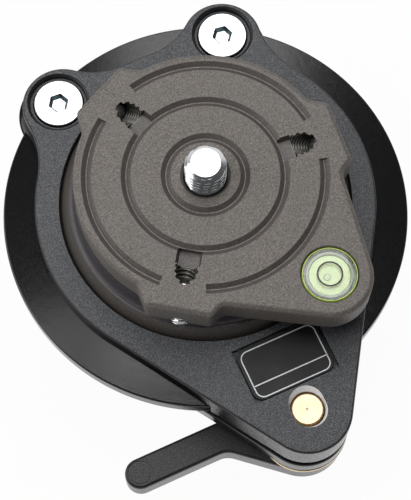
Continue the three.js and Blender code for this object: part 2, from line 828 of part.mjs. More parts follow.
const lever = new THREE.Group();
lever.position.set(0, -noseReach, 0);
lever.add(piece("thrust_washer", makeThrustWasher(), "brass"));
lever.add(piece("lever", makeLever(), "crackleBlack"));
lever.add(piece("lever_nut", makeLeverNut(), "zinc"));

const head = new THREE.Group();
head.rotation.z = degrees(plateTurn);
head.add(piece("ball", makeBall(), "ballGrey"));
head.add(piece("top_plate", makePlate(), "bronzeGrey"));
head.add(piece("camera_stud", makeCameraStud(), "zinc"));
head.add(piece("stud_washer", makeStudWasher(), "zinc"));
capScrewAngles.forEach((angle, i) => {
  head.add(placed(piece(`plate_screw_${i + 1}`, makeCapScrew(), "zinc"), ...polar(capScrewReach, angle)));
});
lobeAngles.forEach((angle, i) => {
  const screw = piece(`set_screw_${i + 1}`, makeSetScrew(), "zinc");
  screw.rotation.z = degrees(angle);
  head.add(screw);
});
const levelAt = polar(levelReach, levelAngle);
head.add(placed(piece("level_cup", makeLevelCup(), "levelGreen"), ...levelAt));
head.add(placed(piece("level_fluid", makeLevelFluid(), "levelFluid"), ...levelAt));
head.add(placed(piece("level_window", makeLevelWindow(), "clear"), ...levelAt));

group.add(base, clamp, lever, head);
// The origin is the middle of the plan from the tip of the nose to the back of the rim
group.position.y = (noseReach + noseRadius - rimRadius) / 2;

export default group;
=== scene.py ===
"""The looks of a camera leveler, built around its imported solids.

Shapes are worked out in millimetres about the ball's axis and become metres when a mesh is made.
"""

import math

import bmesh
import bpy
import numpy as np
from mathutils import Matrix, Vector

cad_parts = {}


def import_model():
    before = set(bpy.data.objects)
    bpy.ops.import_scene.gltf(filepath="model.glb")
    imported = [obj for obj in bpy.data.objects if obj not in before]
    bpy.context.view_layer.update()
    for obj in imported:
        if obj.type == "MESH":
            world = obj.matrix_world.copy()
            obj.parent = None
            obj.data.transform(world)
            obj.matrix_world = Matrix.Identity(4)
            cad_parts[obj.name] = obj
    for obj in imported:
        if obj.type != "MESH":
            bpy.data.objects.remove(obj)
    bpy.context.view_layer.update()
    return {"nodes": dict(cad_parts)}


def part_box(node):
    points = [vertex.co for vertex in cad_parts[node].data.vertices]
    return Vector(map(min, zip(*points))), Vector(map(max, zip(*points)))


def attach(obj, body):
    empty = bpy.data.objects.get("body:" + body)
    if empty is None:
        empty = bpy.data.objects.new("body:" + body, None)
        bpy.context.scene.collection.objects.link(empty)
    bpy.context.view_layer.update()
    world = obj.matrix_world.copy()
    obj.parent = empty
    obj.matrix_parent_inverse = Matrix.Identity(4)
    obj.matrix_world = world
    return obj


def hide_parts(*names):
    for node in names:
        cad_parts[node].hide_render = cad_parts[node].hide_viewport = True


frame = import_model()

MM = 0.001
SHIFT = 8.65  # the ball's axis lies this far along Y


def top(node):
    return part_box(node)[1].z / MM


def foot(node):
    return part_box(node)[0].z / MM


# How far cutters reach past a face, and how far those do that should end at it
OVER = 1.0
JUST_OVER = 0.001

# The ball and the clamp ring
GAP = 0.3  # between the clamp ring and the base
BALL_RADIUS = 38.0
BALL_CENTRE = 34.6
CLAMP_TOP = top("clamp_ring")
CLAMP_UNDER = CLAMP_TOP - 5.0
CLAMP_RADIUS = 40.1
NOSE_REACH = 55.1
NOSE_RADIUS = 10.3
NOSE_UNDER = foot("clamp_ring")
EAR_ANGLE = 60
EAR_REACH = 42.0  # of the round of each ear
EAR_SCREW_REACH = 43.2
EAR_RADIUS = 9.55
OUTER_FILLET = 22.0
INNER_FILLET = 17.0
ASIDE = 0.35  # of the label and the pocket, from the middle of the nose
POCKET_DEPTH = 3.5
POCKET_OFF = 0.4  # the middle of its mouth, from the tie stud towards the ball
SCREW_BORE = 3.3  # of the ear screws and the tie stud

# The base
BASE_TOP = CLAMP_UNDER - GAP
RIM_RADIUS = 48.1

# The head
PLATE_TURN = -5.2
PLATE_TOP = top("top_plate")
PLATE_UNDER = foot("top_plate")
GROOVES = (9, 18, 27)
GROOVE_DEPTH = 0.85
GROOVE_STOP = 10.9  # degrees from the middle of a lobe to the end of the outer groove
LOBE_ANGLES = (0, 120, 240)
CAP_ANGLES = (60, 180, 300)
CAP_REACH = 14
CAP_BORE = 2.8
STUD_BORE = 5.06
STUD_PITCH = 1.5875  # of the 3/8 inch threads
LEVEL_ANGLE = -60
LEVEL_REACH = 36.2
SLANT = math.radians(45)
SCREW_REACH = 22.7  # where a set screw's slanted axis crosses the face of the plate
SCREW_PITCH = 1.0
HOLE_ROOT, HOLE_CREST = 2.3, 2.72  # radii of the thread of a set screw's hole
TIP_DEPTHS = (3.5, 3.5, 2.2)
SLOTS = tuple(zip(LOBE_ANGLES, (21.1, 21.1, 21.8), (1.7, 1.7, 2.4)))  # angle, outer end, depth
SLOT_HALF = 2.85
LEDGE_DEPTH = 0.08


# Plan outlines, as points with their outward normals


def arc(x, y, radius, start, end, steps, convex=True):
    turn = np.radians(np.linspace(start, end, steps + 1))
    out = np.stack([np.cos(turn), np.sin(turn)], 1)
    return np.array([x, y]) + radius * out, out if convex else -out


def outline(*arcs):
    return np.concatenate([a[0] for a in arcs]), np.concatenate([a[1] for a in arcs])


def spin(x, y, angle):
    cosine, sine = math.cos(math.radians(angle)), math.sin(math.radians(angle))
    return x * cosine - y * sine, x * sine + y * cosine


def polar(reach, angle):
    return spin(reach, 0, angle)


def angle_of(x, y):
    return math.degrees(math.atan2(y, x))


def meet(angle_a, reach_a, angle_b, reach_b):
    """The point where two lines cross, each given by its normal's angle and its distance from the centre."""
    a, b = polar(1, angle_a), polar(1, angle_b)
    return np.linalg.solve(np.array([a, b]), np.array([reach_a, reach_b]))


def fillet_fit(corners, i):
    """How a fillet fits in corner i: its centre, its two ends from there, and its swing in radians."""
    before, here, after = (np.array(corners[k % len(corners)][:2], float) for k in (i - 1, i, i + 1))
    before, after = (way / np.linalg.norm(way) for way in (before - here, after - here))
    half = math.acos(np.clip(before @ after, -1, 1)) / 2
    toward = (before + after) / np.linalg.norm(before + after)
    centre = here + toward * corners[i][2] / math.sin(half)
    ends = [here + way * corners[i][2] / math.tan(half) - centre for way in (before, after)]
    return centre, ends, math.pi - 2 * half


def rectangle(width, length, corner, x=0, y=0, steps=6):
    ways = ((-1, -1), (1, -1), (1, 1), (-1, 1))
    corners = [(x + a * width / 2, y + b * length / 2, corner) for a, b in ways]
    arcs = []
    for i in range(4):
        centre, ends, swing = fillet_fit(corners, i)
        start = angle_of(*ends[0])
        arcs.append(arc(*centre, corner, start, start + math.degrees(swing), steps))
    return outline(*arcs)


# Meshes


def linked(name, data):
    """A new object in the scene."""
    made = bpy.data.objects.new(name, data)
    bpy.context.scene.collection.objects.link(made)
    return made


def mesh_object(name, points, faces):
    mesh = bpy.data.meshes.new(name)
    spots = np.array(points, float) * MM
    spots[:, 1] += SHIFT * MM
    mesh.from_pydata(spots.tolist(), [], faces)
    mesh.validate()
    shape = bmesh.new()
    shape.from_mesh(mesh)
    bmesh.ops.remove_doubles(shape, verts=shape.verts, dist=1e-7)
    bmesh.ops.recalc_face_normals(shape, faces=shape.faces)
    shape.to_mesh(mesh)
    shape.free()
    return linked(name, mesh)


def raised(points, height):
    """Plan points put at a height."""
    return np.column_stack([points, np.full(len(points), height)])


def stacked(name, rings, closed=False):
    """A body through rings of equal length, capped at both ends or closed back to its first ring."""
    count, rows = len(rings[0]), len(rings)
    faces = [] if closed else [list(range(count))[::-1]]
    for k in range(rows if closed else rows - 1):
        a, b = k * count, (k + 1) % rows * count
        for i in range(count):
            j = (i + 1) % count
            faces.append([a + i, a + j, b + j, b + i])
    if not closed:
        faces.append([(rows - 1) * count + i for i in range(count)])
    return mesh_object(name, np.concatenate(rings), faces)


def prism(name, plan, low, high, low_round=0.0, high_round=0.0, steps=6):
    """A plan outline raised between two heights, with rounded edges. A negative low one flares out."""
    points, normals = plan
    quarter = np.radians(np.linspace(0, 90, steps + 1))
    rows = [(0, low)]
    if low_round:
        rows = [(low_round * (1 - math.sin(t)), low + abs(low_round) * (1 - math.cos(t))) for t in quarter]
    if high_round:
        edge = high - high_round
        rows += [(high_round * (1 - math.cos(t)), edge + high_round * math.sin(t)) for t in quarter]
    else:
        rows.append((0, high))
    return stacked(name, [raised(points - inset * normals, height) for inset, height in rows])


def rounded(corners):
    """A closed profile from (r, z) or (r, z, fillet) corners."""
    steps = 5
    points = []
    for i, corner in enumerate(corners):
        if len(corner) == 2:
            points.append(np.array(corner, float))
            continue
        centre, (a, b), swing = fillet_fit(corners, i)
        for share in (k / steps for k in range(steps + 1)):
            mix = (math.sin((1 - share) * swing) * a + math.sin(share * swing) * b) / math.sin(swing)
            points.append(centre + mix)
    return points


def lathe(name, corners, sides=160, x=0, y=0):
    """A closed profile turned about the upright line through x, y."""
    points, faces, rows = [], [], []
    turn = np.linspace(0, 2 * math.pi, sides, endpoint=False)
    for r, z in rounded(corners):
        if r < 1e-6:
            rows.append([len(points)] * sides)
            points.append((x, y, z))
        else:
            rows.append(list(range(len(points), len(points) + sides)))
            points.extend((x + r * math.cos(t), y + r * math.sin(t), z) for t in turn)
    for k, row in enumerate(rows):
        after = rows[(k + 1) % len(rows)]
        if row[0] == row[1] and after[0] == after[1]:
            continue
        for i in range(sides):
            j = (i + 1) % sides
            face = [row[i], row[j], after[j], after[i]]
            faces.append(list(dict.fromkeys(face)))
    return mesh_object(name, points, faces)


def cylinder(name, radius, low, high, sides=96, x=0, y=0):
    return lathe(name, [(0, low), (radius, low), (radius, high), (0, high)], sides, x, y)


def pipe(name, inner, outer, low, high, x, y):
    return lathe(name, [(inner, low), (outer, low), (outer, high), (inner, high)], 128, x, y)


def sphere_arc(radius, start, end, steps):
    turn = np.radians(np.linspace(start, end, steps + 1))
    return [(radius * math.cos(t), BALL_CENTRE + radius * math.sin(t)) for t in turn]


def angle_at(radius, height):
    return math.degrees(math.asin((height - BALL_CENTRE) / radius))


def threaded(name, low, high, root, crest, pitch, tip=0.0, tip_radius=None, sides=48, rows_per_pitch=10):
    """A threaded rod along Z, with its thread running up to a chamfered tip."""
    steep, flat = 1.3, 0.15  # of the thread's flanks, and of its crest and root
    count = int((high - low) / pitch * rows_per_pitch)
    turn = np.linspace(0, 1, sides, endpoint=False)
    ways = np.column_stack([np.cos(2 * math.pi * turn), np.sin(2 * math.pi * turn)])
    rings = []
    for z in np.linspace(low, high, count + 1):
        phase = (z / pitch - turn) % 1
        height = np.clip(steep * (1 - np.abs(2 * phase - 1)) - flat, 0, 1)
        radius = root + (crest - root) * height
        if tip:
            limit = tip_radius + (crest - tip_radius) * min(1, (high - z) / tip)
            radius = np.minimum(radius, limit)
        rings.append(raised(radius[:, None] * ways, z))
    return stacked(name, rings)


def hexagon(name, flats, low, high, x=0, y=0, turn=0, low_flats=None):
    """A hexagonal bar, as wide across its flats below as above unless the lower width is given."""
    corners = np.array([polar(1 / math.sqrt(3), turn + 60 * i) for i in range(6)])
    rows = ((low_flats or flats, low), (flats, high))
    return stacked(name, [raised(corners * size + [x, y], z) for size, z in rows])


def moved(made, matrix):
    """Moves a mesh by a matrix about the ball's axis, in millimetres."""
    shift = Matrix.Translation((0, SHIFT * MM, 0))
    scaled = matrix.copy()
    scaled.translation = matrix.translation * MM
    made.data.transform(shift @ scaled @ shift.inverted())
    return made


def turned(made, angle):
    return moved(made, Matrix.Rotation(math.radians(angle), 4, "Z"))


def slanted(made, angle):
    """Lays a shape made along Z, with the plate's face at z = 0, on a set screw's slanted axis."""
    lay = Matrix.Translation((SCREW_REACH, 0, PLATE_TOP)) @ Matrix.Rotation(-SLANT, 4, "Y")
    return moved(made, Matrix.Rotation(math.radians(angle), 4, "Z") @ lay)


def combine(made, others, operation):
    """Joins or cuts a body with others, which are used up."""
    for other in others:
        step = made.modifiers.new("step", "BOOLEAN")
        step.operation = operation
        step.solver = "MANIFOLD"
        step.object = other
        graph = bpy.context.evaluated_depsgraph_get()
        graph.update()
        mesh = bpy.data.meshes.new_from_object(made.evaluated_get(graph))
        made.modifiers.clear()
        made.data = mesh
        bpy.data.objects.remove(other)
    return made


def cut(made, *others):
    combine(made, others, "DIFFERENCE")


def join(made, *others):
    combine(made, others, "UNION")


def dressed(made, body, node, material, angle=32):
    """Smooths a finished mesh, gives it its material and puts it in a node's place."""
    mesh = made.data
    mesh.materials.clear()
    mesh.materials.append(material)
    mesh.shade_smooth()
    mesh.set_sharp_from_angle(angle=math.radians(angle))
    weighted = made.modifiers.new("normals", "WEIGHTED_NORMAL")
    weighted.keep_sharp = True
    weighted.weight = 80
    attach(made, body)
    if node:
        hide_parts(node)


def paint(made, material, test, *limits):
    """Gives the faces whose middle passes a test, with its limits, another material."""
    made.data.materials.append(material)
    index = len(made.data.materials) - 1
    for face in made.data.polygons:
        x, y, z = face.center / MM
        if test(x, y - SHIFT, z, *limits):
            face.material_index = index


# Materials


class Look:
    """A short way to write a material's node tree."""

    def __init__(self, name):
        self.material = bpy.data.materials.new(name)
        self.material.use_nodes = True
        self.tree = self.material.node_tree
        self.tree.nodes.clear()
        self.out = self.add("ShaderNodeOutputMaterial")
        self.shader = self.add("ShaderNodeBsdfPrincipled")
        self.link(self.shader, "BSDF", self.out, "Surface")

    def add(self, kind, **values):
        node = self.tree.nodes.new(kind)
        for key, value in values.items():
            setattr(node, key, value)
        return node

    def link(self, a, output, b, entry):
        self.tree.links.new(a.outputs[output], b.inputs[entry])

    def set(self, **values):
        for key, value in values.items():
            self.shader.inputs[key.replace("_", " ")].default_value = value

    def texture(self, kind, size):
        """A texture whose features are about so many millimetres wide."""
        node = self.add(kind)
        node.inputs["Scale"].default_value = 1 / (size * MM)
        self.link(self.add("ShaderNodeTexCoord"), "Object", node, "Vector")
        return node

    def noise(self, size, detail=2.0, roughness=0.5):
        node = self.texture("ShaderNodeTexNoise", size)
        node.inputs["Detail"].default_value = detail
        node.inputs["Roughness"].default_value = roughness
        return node

    def ramp(self, source, *stops):
        node = self.add("ShaderNodeValToRGB")
        while len(node.color_ramp.elements) < len(stops):
            node.color_ramp.elements.new(0.5)
        for element, (place, colour) in zip(node.color_ramp.elements, stops):
            element.position = place
            element.color = (*colour, 1)
        self.link(source, 0, node, "Fac")
        return node

    def math(self, operation, a, b=None, output_a=0, output_b=0):
        node = self.add("ShaderNodeMath", operation=operation)
        for i, (value, output) in enumerate(((a, output_a), (b, output_b))):
            if isinstance(value, (int, float)):
                node.inputs[i].default_value = value
            elif value is not None:
                self.link(value, output, node, i)
        return node

    def mix(self, factor, a, b):
        """Colours a and b mixed; each is a node or a plain colour."""
        node = self.add("ShaderNodeMix", data_type="RGBA")
        for key, value in (("Factor", factor), ("A", a), ("B", b)):
            entry = next(i for i in node.inputs if i.enabled and i.name == key)
            if isinstance(value, tuple):
                entry.default_value = (*value, 1)
            else:
                self.tree.links.new(first_output(value), entry)
        return node

    def range(self, source, low, high, to_low, to_high, output=0):
        node = self.add("ShaderNodeMapRange")
        for key, value in (("From Min", low), ("From Max", high), ("To Min", to_low), ("To Max", to_high)):
            node.inputs[key].default_value = value
        self.link(source, output, node, "Value")
        return node

    def bump(self, source, height, before=None):
        """Relief of so many millimetres."""
        node = self.add("ShaderNodeBump")
        node.inputs["Distance"].default_value = height * MM
        self.link(source, 0, node, "Height")
        if before:
            self.link(before, "Normal", node, "Normal")
        self.link(node, "Normal", self.shader, "Normal")
        return node

    def colour(self, source):
        self.tree.links.new(first_output(source), self.shader.inputs["Base Color"])

    def rough(self, source, at_low, at_high):
        """Roughness between two values, as the source goes from its darker to its lighter parts."""
        self.link(self.range(source, 0.3, 0.7, at_low, at_high), 0, self.shader, "Roughness")

    def between(self, a, b, factor):
        """Puts a mix of two shaders on the surface."""
        both = self.add("ShaderNodeMixShader")
        for i, source in enumerate((factor, a, b)):
            self.link(source, 0, both, i)
        self.link(both, 0, self.out, "Surface")


def first_output(node):
    return next(o for o in node.outputs if o.enabled and o.name in ("Result", "Color", "Value"))


def black_paint(name, grain, tones, top_rough, side_rough, relief, peel=0.0):
    """Black paint on cast metal: rough and grained where it faces up, smoother on the sides. Faces that don't
    face up are coloured near black, as painted shade.
    """
    look = Look(name)
    low, middle, high = tones
    # painted shade: the near black colour of every face that doesn't face up
    side = (0.003, 0.003, 0.003)
    coarse = look.noise(grain, 3, 0.62)
    fine = look.noise(grain * 0.5)
    broad = look.noise(14)
    tone = look.ramp(coarse, (0.34, low), (0.52, middle), (0.70, high))
    facing = look.add("ShaderNodeSeparateXYZ")
    look.link(look.add("ShaderNodeNewGeometry"), "Normal", facing, "Vector")
    level = look.math("ABSOLUTE", facing, output_a="Z")
    upward = look.range(level, 0.25, 0.9, 0.0, 1.0)
    clouded = look.mix(look.range(broad, 0.35, 0.65, 0.0, 0.25), tone, middle)
    # painted shade: away from straight up, the colour goes to the near black side colour
    look.colour(look.mix(look.range(level, 0.90, 0.97, 0.0, 1.0), side, clouded))
    speckled = look.math("MULTIPLY", look.range(coarse, 0.3, 0.7, 0.06, -0.06), upward)
    rough = look.math("ADD", look.range(upward, 0.0, 1.0, side_rough, top_rough), speckled)
    look.link(rough, 0, look.shader, "Roughness")
    before = look.bump(fine, relief * 0.3)
    if peel:
        before = look.bump(look.noise(1.6), peel, before)
    look.bump(look.math("MULTIPLY", coarse, look.range(upward, 0.0, 1.0, 0.25, 1.0)), relief, before)
    return look.material


def bronze():
    """Speckled warm grey anodising of the plate, with fine light flecks that are painted glints."""
    look = Look("bronze_anodised")
    speck = look.noise(0.36, 3, 0.7)
    cloud = look.noise(11, 3, 0.55)
    fleck = look.texture("ShaderNodeTexVoronoi", 0.6)
    base = look.ramp(
        speck, (0.32, (0.065, 0.056, 0.048)), (0.5, (0.133, 0.118, 0.104)), (0.68, (0.230, 0.207, 0.189))
    )
    warm = look.mix(look.range(cloud, 0.38, 0.62, 0.0, 0.3), base, (0.140, 0.129, 0.123))
    # painted glints: light flecks at the points of a Voronoi texture, mixed into the colour
    painted_glint = look.range(fleck, 0.0, 0.12, 0.6, 0.0, "Distance")
    look.colour(look.mix(painted_glint, warm, (0.30, 0.275, 0.255)))
    look.rough(speck, 0.60, 0.50)
    look.bump(speck, 0.022)
    look.set(Metallic=0.15)
    return look.material


def plain_face(name, dark, light, grain=0.5, rough=(0.55, 0.45), relief=0.012, metallic=0.0, bite=0.6):
    """A fine grained finish of two tones, with no sparkle. A higher bite makes the grain crisper."""
    look = Look(name)
    speck = look.noise(grain, 2, bite)
    look.colour(look.ramp(speck, (0.3, dark), (0.7, light)))
    look.rough(speck, *rough)
    if relief:
        look.bump(speck, relief)
    look.set(Metallic=metallic)
    return look.material


def ball_finish():
    """Hard anodised ball: brownish grey below, with a lilac cast in the neck."""
    look = Look("ball_anodised")
    neck_low, neck_high = 54.5 * MM, 56.0 * MM
    speck = look.noise(0.5, 3, 0.65)
    split = look.add("ShaderNodeSeparateXYZ")
    look.link(look.add("ShaderNodeTexCoord"), "Object", split, "Vector")
    base = look.ramp(speck, (0.3, (0.070, 0.061, 0.054)), (0.7, (0.120, 0.106, 0.096)))
    neck = look.range(split, neck_low, neck_high, 0.0, 0.85, "Z")
    lilac = look.ramp(speck, (0.3, (0.052, 0.049, 0.058)), (0.7, (0.084, 0.080, 0.094)))
    look.colour(look.mix(neck, base, lilac))
    look.rough(speck, 0.46, 0.36)
    look.bump(speck, 0.012)
    look.set(Metallic=0.3)
    return look.material


def metal(name, dark, light, rough_low, rough_high, grain=0.5, relief=0.006):
    look = Look(name)
    speck = look.noise(grain, 3, 0.6)
    look.colour(look.ramp(look.noise(5), (0.35, dark), (0.65, light)))
    look.rough(speck, rough_low, rough_high)
    look.bump(speck, relief)
    look.set(Metallic=1.0)
    return look.material


def foil():
    """Satin black foil of the label."""
    look = Look("label_foil")
    speck = look.noise(0.35, 2, 0.6)
    broad = look.noise(6)
    tone = look.ramp(speck, (0.3, (0.007, 0.007, 0.008)), (0.7, (0.012, 0.012, 0.013)))
    look.colour(look.mix(look.range(broad, 0.35, 0.65, 0.0, 0.4), tone, (0.014, 0.0145, 0.016)))
    look.link(look.range(broad, 0.35, 0.65, 0.52, 0.46), 0, look.shader, "Roughness")
    look.set(Specular_IOR_Level=0.3)
    look.bump(speck, 0.006)
    return look.material


# white print of the label, also used for the painted highlight on the level's bubble
def white_print_and_glint():
    look = Look("label_line_and_glint")
    speck = look.noise(0.4, 2, 0.6)
    look.colour(look.ramp(speck, (0.3, (0.62, 0.63, 0.64)), (0.6, (0.82, 0.83, 0.84))))
    look.rough(speck, 0.5, 0.4)
    return look.material


def level_plastic(name, dark, light, rough, glow=0.0):
    look = Look(name)
    speck = look.noise(2.2)
    look.colour(look.ramp(speck, (0.35, dark), (0.65, light)))
    look.rough(speck, rough, rough + 0.08)
    look.set(Subsurface_Weight=0.25, Subsurface_Scale=MM)
    # painted light: a glow in the plastic's own light colour
    look.set(Emission_Color=(*light, 1), Emission_Strength=glow)
    return look.material


def clear_window():
    """A clear cap: what lies under it shows, with a glossy skin."""
    look = Look("level_window")
    gloss = look.add("ShaderNodeBsdfGlossy")
    look.link(look.range(look.noise(4), 0.3, 0.7, 0.03, 0.06), 0, gloss, "Roughness")
    clear = look.add("ShaderNodeBsdfTransparent")
    clear.inputs["Color"].default_value = (0.97, 0.985, 0.95, 1)
    fresnel = look.add("ShaderNodeFresnel")
    fresnel.inputs["IOR"].default_value = 1.45
    look.between(clear, gloss, fresnel)
    look.tree.nodes.remove(look.shader)
    return look.material


CRACKLE_TONES = ((0.006, 0.006, 0.008), (0.064, 0.066, 0.072), (0.205, 0.210, 0.228))
RIM_TONES = ((0.002, 0.002, 0.002), (0.003, 0.003, 0.0033), (0.007, 0.007, 0.0075))
LEVER_TONES = ((0.004, 0.004, 0.0045), (0.012, 0.012, 0.0135), (0.042, 0.042, 0.047))
# each black paint carries painted shade: faces that don't face up are coloured near black
CRACKLE = black_paint("crackle_paint", 0.25, CRACKLE_TONES, 0.38, 0.20, 0.10)
RIM = black_paint("rim_paint", 0.4, RIM_TONES, 0.19, 0.20, 0.010, 0.014)
LEVER = black_paint("lever_paint", 0.4, LEVER_TONES, 0.46, 0.26, 0.05)

BRONZE = bronze()
BALL = ball_finish()
# painted shade: a darker colour for the sloping walls of the grooves and the slots
WALL_SHADE = plain_face("painted_wall_shade", (0.064, 0.055, 0.050), (0.112, 0.098, 0.090))
# the narrow groove floors are lighter and smooth: part burnished metal, part painted highlight
GROOVE = plain_face("groove_floor", (0.11, 0.097, 0.092), (0.20, 0.18, 0.172), 0.6, relief=0)
SLOT_FLOOR = plain_face("slot_floor", (0.080, 0.071, 0.065), (0.130, 0.117, 0.108))
# a light line, part bare worn metal and part painted highlight of the step's edge
WEAR_AND_HIGHLIGHT = plain_face("worn_line_and_highlight", (0.20, 0.185, 0.17), (0.30, 0.28, 0.26))
MACHINED = plain_face(
    "machined_slot", (0.10, 0.097, 0.082), (0.17, 0.165, 0.14), 0.4, (0.45, 0.35), 0.01, 0.5
)
# painted shade: a near black colour for the roots of the tapped holes' threads
THREAD_ROOT_SHADE = plain_face("thread_root_painted_shade", (0.006, 0.006, 0.005), (0.016, 0.015, 0.013), 0.4, (0.5, 0.4), 0.01)

ZINC = metal("zinc_steel", (0.66, 0.68, 0.71), (0.80, 0.82, 0.84), 0.34, 0.44)
# painted shade: a dark teal for the walls of the ear screws' sockets
SOCKET_SHADE = metal("socket_painted_shade", (0.13, 0.17, 0.18), (0.22, 0.27, 0.28), 0.25, 0.35)
DARK_STEEL = metal("dark_steel", (0.30, 0.30, 0.31), (0.42, 0.42, 0.43), 0.30, 0.42)
STUD = metal("stud_steel", (0.60, 0.61, 0.62), (0.74, 0.75, 0.76), 0.18, 0.26, 0.4, 0.003)
BRASS = metal("brass", (0.76, 0.62, 0.42), (0.86, 0.72, 0.53), 0.46, 0.54)
# painted shade: a darker brown for the chamfer and side of the tie stud's head
BRASS_EDGE_SHADE = plain_face("brass_edge_painted_shade", (0.26, 0.13, 0.03), (0.42, 0.24, 0.08))
POCKET_WALL = plain_face("bare_pocket", (0.74, 0.74, 0.73), (0.88, 0.88, 0.87))

NYLON = plain_face("nylon", (0.62, 0.60, 0.54), (0.74, 0.72, 0.66), 0.8, (0.6, 0.5), 0.01, bite=0.5)
FOIL = foil()
WHITE_PRINT_AND_GLINT = white_print_and_glint()
# the cup and the fluid carry a painted glow
CUP = level_plastic("level_cup", (0.42, 0.58, 0.06), (0.52, 0.68, 0.10), 0.3, 0.12)
FROST = level_plastic("level_frost", (0.36, 0.38, 0.36), (0.46, 0.48, 0.45), 0.25)
FLUID = level_plastic("level_fluid", (0.68, 0.80, 0.43), (0.76, 0.87, 0.52), 0.15, 0.06)
WINDOW = clear_window()
# print of the level's target, and painted shade in the lever's round mark
INK_AND_SHADE = plain_face("level_ink_and_mark_shade", (0.008, 0.010, 0.006), (0.018, 0.022, 0.014), 0.3, (0.4, 0.4), 0, bite=0.5)


# The clamp ring

EARS = [polar(EAR_REACH, angle) for angle in (180 - EAR_ANGLE, EAR_ANGLE)]
EAR_SCREWS = [polar(EAR_SCREW_REACH, angle) for angle in (180 - EAR_ANGLE, EAR_ANGLE)]


def fillet_at(fillet, side):
    """Centre of the fillet between the ring and an ear, on its outer (1) or inner (-1) side."""
    ring, ear = CLAMP_RADIUS + fillet, EAR_RADIUS + fillet
    cosine = (ring * ring + EAR_REACH * EAR_REACH - ear * ear) / (2 * ring * EAR_REACH)
    angle = EAR_ANGLE - side * math.degrees(math.acos(cosine))
    return angle, polar(ring, angle)


def nose_lean(large, small, reach):
    """The angle between the middle line and the straight sides that wrap a large and a small circle."""
    return math.degrees(math.asin((large - small) / reach))


def clamp_plan(with_nose=True):
    lean = nose_lean(CLAMP_RADIUS, NOSE_RADIUS, NOSE_REACH) if with_nose else 90
    outer_angle, outer = fillet_at(OUTER_FILLET, 1)
    inner_angle, inner = fillet_at(INNER_FILLET, -1)
    ear = EARS[1]
    to_outer = angle_of(outer[0] - ear[0], outer[1] - ear[1])
    to_inner = angle_of(inner[0] - ear[0], inner[1] - ear[1])
    right = outline(
        arc(0, 0, CLAMP_RADIUS, -lean, outer_angle, 40),
        arc(*outer, OUTER_FILLET, outer_angle + 180, to_outer + 180, 14, False),
        arc(*ear, EAR_RADIUS, to_outer, to_inner, 40),
        arc(*inner, INNER_FILLET, to_inner - 180, inner_angle - 180, 12, False),
        arc(0, 0, CLAMP_RADIUS, inner_angle, 90, 8),
    )
    nose = arc(0, -NOSE_REACH, NOSE_RADIUS, 180 + lean, 360 - lean, 40)
    whole = []
    for side, end in zip(right, nose):
        left = (side * [-1, 1])[::-1][1:]
        whole.append(np.concatenate([end, side, left] if with_nose else [side, left[:-1]]))
    return tuple(whole)


def nose_plan(inset=0.0):
    """The outline that wraps the round of the clamp ring and the round end of its nose."""
    large, small = CLAMP_RADIUS - inset, NOSE_RADIUS - inset
    lean = nose_lean(large, small, NOSE_REACH)
    return outline(
        arc(0, -NOSE_REACH, small, 180 + lean, 360 - lean, 40),
        arc(0, 0, large, -lean, 180 + lean, 80),
    )


def ball_opening():
    """What the ball fills of the clamp ring: round below, with a soft lip and a flared mouth."""
    radius, mouth = BALL_RADIUS + 0.35, 33.9
    low, lip = CLAMP_UNDER - OVER, CLAMP_TOP - 0.75
    return lathe("hole", [
        (0, low), *sphere_arc(radius, angle_at(radius, low), angle_at(radius, lip), 10),
        (mouth + 0.15, CLAMP_TOP - 0.35, 0.3), (mouth + 0.9, CLAMP_TOP + 0.4),
        (mouth + 0.9, CLAMP_TOP + OVER), (0, CLAMP_TOP + OVER),
    ])


def ear_recess(x, y):
    """The countersink of an ear screw, sunk below a round rim."""
    low, seat = CLAMP_UNDER - OVER, CLAMP_TOP - 1.4
    cone, rim, edge = 6.15, 6.75, 7.6
    return lathe("recess", [
        (0, low), (SCREW_BORE, low), (SCREW_BORE, CLAMP_TOP - 4.3), (cone, seat), (rim, seat),
        (rim, CLAMP_TOP - 0.5, 0.6), (edge, CLAMP_TOP + 0.12), (edge, CLAMP_TOP + OVER),
        (0, CLAMP_TOP + OVER),
    ], 96, x, y)


def pocket():
    """The oblong pocket of the tie stud, bevelled most on the side of the ball."""
    hole = rectangle(7.66, 8.2, 3.82, 0.12, 0.05 - NOSE_REACH, 16)[0]
    mouth = rectangle(8.1, 9.8, 4.04, ASIDE, POCKET_OFF - NOSE_REACH, 16)[0]
    rows = ((hole, CLAMP_TOP - POCKET_DEPTH), (hole, CLAMP_TOP - 0.9), (mouth, CLAMP_TOP + JUST_OVER))
    return stacked("pocket", [raised(plan, height) for plan, height in rows])


def label_place():
    """The middle along Y and the length of the label's solid."""
    low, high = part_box("label_plate")
    return (low.y + high.y) / 2 / MM - SHIFT, (high.y - low.y) / MM


